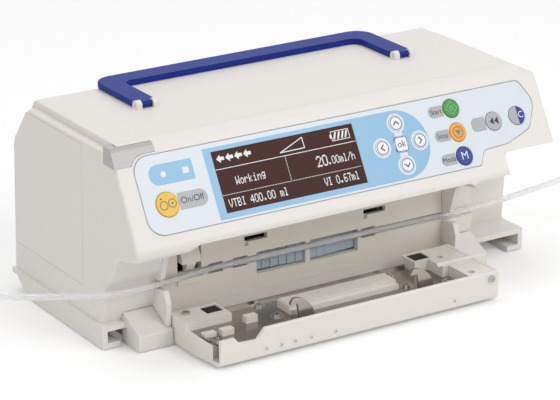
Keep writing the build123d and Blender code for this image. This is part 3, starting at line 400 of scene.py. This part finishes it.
def membrane_outline(inset):
    """The edge of the membrane, moved in by this much."""
    left, right, top = -145.6 + inset, 155.3 - inset, 51.2 - inset
    corners = [(left, inset), (101.0, inset), (106.0, 9.5 + inset), (126.0, 10.5 + inset),
               (146.0, 17.5 + inset), (right, 35.0), (147.0 - inset, top), (left, top)]
    return filleted(corners, [11, 2.5, 5, 20, 9, 12, 5, 11])


bands("membrane_edge_line", [(membrane_outline(0.3), membrane_outline(0.62))], 0,
      *SLATE)

# ---- key surrounds, labels and signs ---------------------------------------------
UP, DOWN, LEFT, RIGHT = (45.6, 39.0), (45.6, 11.0), (30.9, 25.0), (60.0, 25.0)
OK = (45.4, 25.0)
START, STOP, MODE = (90.0, 41.2), (90.0, 25.0), (90.0, 8.9)
rings("arrow_key_surrounds", [(x, up, 6.5, 5.4) for x, up in (UP, DOWN, LEFT, RIGHT)],
      MARK_LAYER, *PALE)
prisms("arrow_key_bridges", [
    oblong(42.6, 48.4, 30.6, 32.9),
    oblong(42.6, 48.4, 17.1, 19.4),
], MARK_LAYER, *PALE)

for word, (x, up) in (("Start", START), ("Stop", STOP), ("Mode", MODE)):
    tab = rounded(x - 18.0, x - 6.6, up - 4.2, up + 3.4, 3.4, 0.1, 0.1, 3.4)
    prisms(word.lower() + "_tab", [tab], FIELD_LAYER, *KEY_GREY)
    words(word.lower() + "_word", word, x - 12.0, up - 0.5, 4.6, MARK_LAYER, *DARK)
prisms("purge_tab", [rounded(101.8, 112.9, 22.4, 31.6, 3.6, 0.1, 0.1, 3.6)], FIELD_LAYER,
       *KEY_GREY)
prisms("power_tab", [rounded(-120.7, -100.4, 13.6, 24.4, 0.1, 5.2, 5.2, 0.1)], FIELD_LAYER,
       *KEY_GREY)
words("power_word", "On/Off", -111.2, 19.2, 5.6, MARK_LAYER, *DARK)

SIGN = KEY_TOP + FIELD_LAYER
ARROW_KEYS = {"key_up": (UP, 0, 1), "key_down": (DOWN, 0, -1),
              "key_left": (LEFT, -1, 0), "key_right": (RIGHT, 1, 0)}
for name, ((x, up), dx, du) in ARROW_KEYS.items():
    rings(name + "_ring", [(x, up, 4.45, 3.95)], SIGN, *KEY_BLUE, name)
for name, ((x, up), dx, du) in ARROW_KEYS.items():
    tip = (x + 1.1 * dx, up + 1.1 * du)
    # The two strokes cross at the tip, so the second lies over the first.
    for layer, (ending, side) in enumerate((("", -1), ("_b", 1))):
        end = (x - 0.8 * dx + 1.9 * du * side, up - 0.8 * du + 1.9 * dx * side)
        prisms(name + "_chevron" + ending, [stroke(*end, *tip, 0.8)], SIGN + PRINT * layer,
               *DARK, name)

prisms("key_ok_edge", [rounded(OK[0] - 4.6, OK[0] + 4.6, OK[1] - 4.8, OK[1] + 4.8,
                               1.8, 1.8, 1.8, 1.8)],
       SIGN, *KEY_BLUE, "key_ok")
prisms("key_ok_cap", [rounded(OK[0] - 4.2, OK[0] + 4.2, OK[1] - 4.4, OK[1] + 4.4,
                              1.5, 1.5, 1.5, 1.5)],
       SIGN + PRINT, *KEY_WHITE, "key_ok")
words("key_ok_word", "ok", *OK, 6.2, SIGN + 2 * PRINT, *DARK, "key_ok")
words("key_mode_word", "M", *MODE, 7.4, SIGN, *PALE, "key_mode")
rings("key_power_sign", [(-131.6, 18.3, 2.9, 2.3), (-125.6, 18.9, 2.9, 2.3)], SIGN,
      *SLATE, "key_power")
prisms("key_power_dots", [disc(-125.6, 18.9, 0.7), disc(-132.6, 22.6, 0.6)], SIGN,
       *KEY_BLUE, "key_power")
diamond = [(90.0, 36.8), (94.4, 41.2), (90.0, 45.6), (85.6, 41.2)]
for layer, (ending, sides) in enumerate((("", (0, 2)), ("_b", (1, 3)))):
    prisms("key_start_sign" + ending,
           [stroke(*diamond[i], *diamond[(i + 1) % 4], 0.45) for i in sides],
           SIGN + PRINT * layer, *LIME, "key_start")
rings("key_start_dot", [(*START, 1.5, 1.0)], SIGN, *LIME, "key_start")
rings("key_stop_sign", [(*STOP, 3.9, 3.3)], SIGN, *SLATE, "key_stop")
prisms("key_stop_mark", [[(87.9, 26.3), (90.0, 22.7), (92.1, 26.3)]], SIGN,
       *SLATE, "key_stop")
prisms("key_purge_sign", [
    [(x, 27.2), (x + 3.2, 24.6), (x + 3.2, 29.8)] for x in (116.0, 119.6)
], SIGN, *DARK, "key_purge")
prisms("key_mute_half", [[(138.9, 21.5)] + arc(138.4, 27.7, 6.1, -85, 85, 24) + [(138.9, 33.7)]],
       SIGN, *KEY_BLUE, "key_mute")
words("key_mute_word", "C", 141.3, 27.7, 6.0, SIGN + PRINT, *PALE, "key_mute")

# ---- display ---------------------------------------------------------------------
# Each letter is seven rows of five dots, top row first.
LETTERS = {
    "W": "#...#/#...#/#...#/#.#.#/#.#.#/##.##/#...#",
    "o": "...../...../.###./#...#/#...#/#...#/.###.",
    "r": "...../...../#.##./##..#/#..../#..../#....",
    "k": "#..../#..../#..#./#.#../##.../#.#../#..#.",
    "i": "..#../...../.##../..#../..#../..#../.###.",
    "n": "...../...../#.##./##..#/#...#/#...#/#...#",
    "g": "...../.####/#...#/#...#/.####/....#/.###.",
    "m": "...../...../##.#./#.#.#/#.#.#/#.#.#/#.#.#",
    "l": ".##../..#../..#../..#../..#../..#../.###.",
    "/": "....#/....#/...#./..#../.#.../#..../#....",
    "h": "#..../#..../#.##./##..#/#...#/#...#/#...#",
    "V": "#...#/#...#/#...#/#...#/.#.#./.#.#./..#..",
    "T": "#####/..#../..#../..#../..#../..#../..#..",
    "B": "####./#...#/#...#/####./#...#/#...#/####.",
    "I": ".###./..#../..#../..#../..#../..#../.###.",
    "0": ".###./#...#/#...#/#...#/#...#/#...#/.###.",
    "2": ".###./#...#/....#/...#./..#../.#.../#####",
    "4": "...#./..##./.#.#./#..#./#####/...#./...#.",
    "6": ".###./#..../#..../####./#...#/#...#/.###.",
    "7": "#####/....#/...#./..#../..#../..#../..#..",
    ".": "...../...../...../...../...../.##../.##..",
    " ": "...../...../...../...../...../...../.....",
}
LCD = GLASS_TOP + FIELD_LAYER


def shown(x, up):
    """Panel place of a point measured from the display's lower left corner."""
    return DISPLAY_LEFT + x, DISPLAY_BOTTOM + up


def bar(x0, x1, u0, u1):
    return [shown(*corner) for corner in oblong(x0, x1, u0, u1)]


def dot_words(name, text, x, middle, pitch, dot_wide, dot_high):
    """A reading in display dots, from x, centred on this height."""
    outlines = []
    for k, letter in enumerate(text):
        for row, dots in enumerate(LETTERS[letter].split("/")):
            high = middle + (3.5 - row) * dot_high
            for run in lit_runs(dots):
                left = x + k * pitch + run[0] * dot_wide
                right = x + k * pitch + run[1] * dot_wide
                outlines.append(bar(left, right, high - dot_high, high))
    prisms(name, outlines, LCD, *PALE)


def lit_runs(dots):
    """Start and end of each unbroken run of lit dots in a row."""
    runs, start = [], None
    for i, dot in enumerate(dots + "."):
        if dot == "#" and start is None:
            start = i
        if dot != "#" and start is not None:
            runs.append((start, i))
            start = None
    return runs


dot_words("reading_state", "Working", 12.0, 18.8, 3.12, 0.52, 0.74)
dot_words("reading_rate_large", "20", 71.6, 19.6, 4.4, 0.76, 1.0)
dot_words("reading_rate", ".00ml/h", 80.0, 18.9, 2.92, 0.5, 0.74)
dot_words("reading_limit", "VTBI 400.00 ml", 3.2, 5.6, 3.08, 0.52, 0.76)
dot_words("reading_given", "VI 0.67ml", 73.4, 6.0, 2.9, 0.5, 0.76)


prisms("reading_rule", [bar(0.4, 103.6, 27.4, 27.85)], LCD, *PALE)
prisms("reading_dots_across",
       [bar(k * 1.1 + 0.6, k * 1.1 + 1.15, 10.9, 11.4) for k in range(93)], LCD, *PALE)
prisms("reading_dots_up", [bar(50.3, 50.8, 12.2 + k * 1.2, 12.8 + k * 1.2) for k in range(13)],
       LCD, *PALE)
arrows = []
for x in (5.5, 12.0, 18.4, 24.9):
    arrows.append([shown(x - 2.9, 34.1), shown(x, 31.4), shown(x, 33.0), shown(x + 2.7, 33.0),
                   shown(x + 2.7, 35.2), shown(x, 35.2), shown(x, 36.8)])
prisms("reading_arrows", arrows, LCD, *PALE)
RAMP_STEP = 0.045  # each stroke of the ramp lies over the one before
ramp = [shown(48.0, 30.0), shown(66.0, 30.1), shown(65.8, 36.9)]
for k in range(3):
    prisms(f"reading_ramp_{k}", [stroke(*ramp[k], *ramp[(k + 1) % 3], 0.6)],
           LCD + RAMP_STEP * k, *PALE)
prisms("reading_battery", [bar(87.0, 100.6, 36.3, 36.8), bar(87.0, 100.6, 30.3, 30.8),
                           bar(100.1, 100.6, 30.85, 36.25), bar(87.0, 87.5, 30.85, 36.25),
                           bar(85.9, 86.95, 32.3, 34.8)],
       LCD, *PALE)
prisms("reading_battery_level", [
    [shown(x, 31.3), shown(x + 1.4, 31.3), shown(x + 3.4, 35.8), shown(x + 2.0, 35.8)]
    for x in (88.0, 90.9, 93.8, 96.4)
], LCD, *PALE)


# ---- door details ----------------------------------------------------------------
PLATE_TOP = 14.0
SCREW_TOP = 15.5
door_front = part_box("door_shell")[0].y / MM
DOOR_SCREWS = [(-112.0, -106.0), (65.2, -104.0), (37.9, -96.0), (37.2, -74.9), (-58.7, -92.5),
               (-60.2, -72.6)]


def on_door_plate(x, y, out):
    return mm(x, y, PLATE_TOP + out)


def on_door_front(x, z, out):
    return mm(x, door_front - out, z)


def on_screw_heads(x, y, out):
    return mm(x, y, SCREW_TOP + out)


prisms("door_screw_slots", [stroke(x - 1.3, y, x + 1.3, y, 0.5) for x, y in DOOR_SCREWS], 0.0,
       *DARK, "door", on_screw_heads)
prisms("door_screw_cross_slots", [stroke(x, y - 1.3, x, y + 1.3, 0.5) for x, y in DOOR_SCREWS],
       PRINT, *DARK, "door", on_screw_heads)
prisms("door_front_marks", [[(x - 0.9, 7.0), (x + 0.9, 7.0), (x, 9.4)]
                            for x in (-84, -73, -63, -51, -33, 58)], 0.0,
       finish("mark_tan", (190, 176, 152), 0.5, 1200, 0.05), "door_white", "door",
       on_door_front)
rings("door_plate_dimples", [(x, y, 4.6, 3.0) for x, y in DOOR_SCREWS[1:]], 0.02,
      *SCREW_STEEL, "door", on_door_plate)


# The springs flatten as the platen is pressed. A copy of their mesh, riding on the door, stands
# for them.
springs = add_object("springs_under_platen", frame["nodes"]["platen_springs"].data.copy())
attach(springs, "door")
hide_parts("platen_springs")
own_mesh(springs)


# ---- floor and light -------------------------------------------------------------
def glowing_white(tree, lit, strength):
    """Seen directly, reflected or through clear plastic it is plain white."""
    path = tree.nodes.new("ShaderNodeLightPath")
    seen = path.outputs["Is Camera Ray"]
    for ray in ("Is Glossy Ray", "Is Transmission Ray"):
        larger = tree.nodes.new("ShaderNodeMath")
        larger.operation = "MAXIMUM"
        tree.links.new(seen, larger.inputs[0])
        tree.links.new(path.outputs[ray], larger.inputs[1])
        seen = larger.outputs[0]
    level = tree.nodes.new("ShaderNodeMapRange")
    level.inputs["To Min"].default_value = lit
    level.inputs["To Max"].default_value = 1.0
    tree.links.new(seen, level.inputs["Value"])
    tree.links.new(level.outputs["Result"], strength)


WORLD_LIGHT = 0.55
FLOOR_GLOW = 0.16
HALF_FLOOR = 5.0

world = bpy.data.worlds.new("studio")
bpy.context.scene.world = world
world.use_nodes = True
background = world.node_tree.nodes["Background"]
background.inputs["Color"].default_value = (1.0, 1.0, 1.0, 1.0)
glowing_white(world.node_tree, WORLD_LIGHT, background.inputs["Strength"])

floor_mesh = bpy.data.meshes.new("floor")
floor_mesh.from_pydata([(x, y, 0) for x, y in oblong(-HALF_FLOOR, HALF_FLOOR,
                                                     -HALF_FLOOR, HALF_FLOOR)],
                       [], [(0, 1, 2, 3)])
paper = surface("floor", (0.93, 0.93, 0.93, 1), 0.7, 200, 0.01, vary=0.005)
paper_tree = paper.node_tree
lift = paper_tree.nodes.new("ShaderNodeMath")
lift.operation = "MULTIPLY"
lift.inputs[1].default_value = FLOOR_GLOW
camera_ray = paper_tree.nodes.new("ShaderNodeLightPath")
paper_tree.links.new(camera_ray.outputs["Is Camera Ray"], lift.inputs[0])
paper_shader = paper_tree.nodes["Principled BSDF"]
paper_shader.inputs["Emission Color"].default_value = (1.0, 1.0, 1.0, 1.0)
paper_tree.links.new(lift.outputs[0], paper_shader.inputs["Emission Strength"])
floor_mesh.materials.append(paper)
floor = add_object("floor", floor_mesh)


def lamp(name, at, size, power):
    """A round lamp aimed at the pump."""
    data = bpy.data.lights.new(name, "AREA")
    data.shape = "DISK"
    data.size = size
    data.energy = power
    light = add_object(name, data)
    light.location = at
    light.rotation_mode = "QUATERNION"
    light.rotation_quaternion = (Vector((0, 0, 0.05)) - light.location).to_track_quat("-Z", "Y")


lamp("key_lamp", (0.6, -1.3, 1.2), 1.0, 10.0)
lamp("top_lamp", (-0.1, 0.3, 1.7), 1.2, 6.5)
lamp("side_lamp", (-1.6, -0.2, 0.8), 1.0, 2.0)

bpy.context.scene.view_settings.view_transform = "Standard"
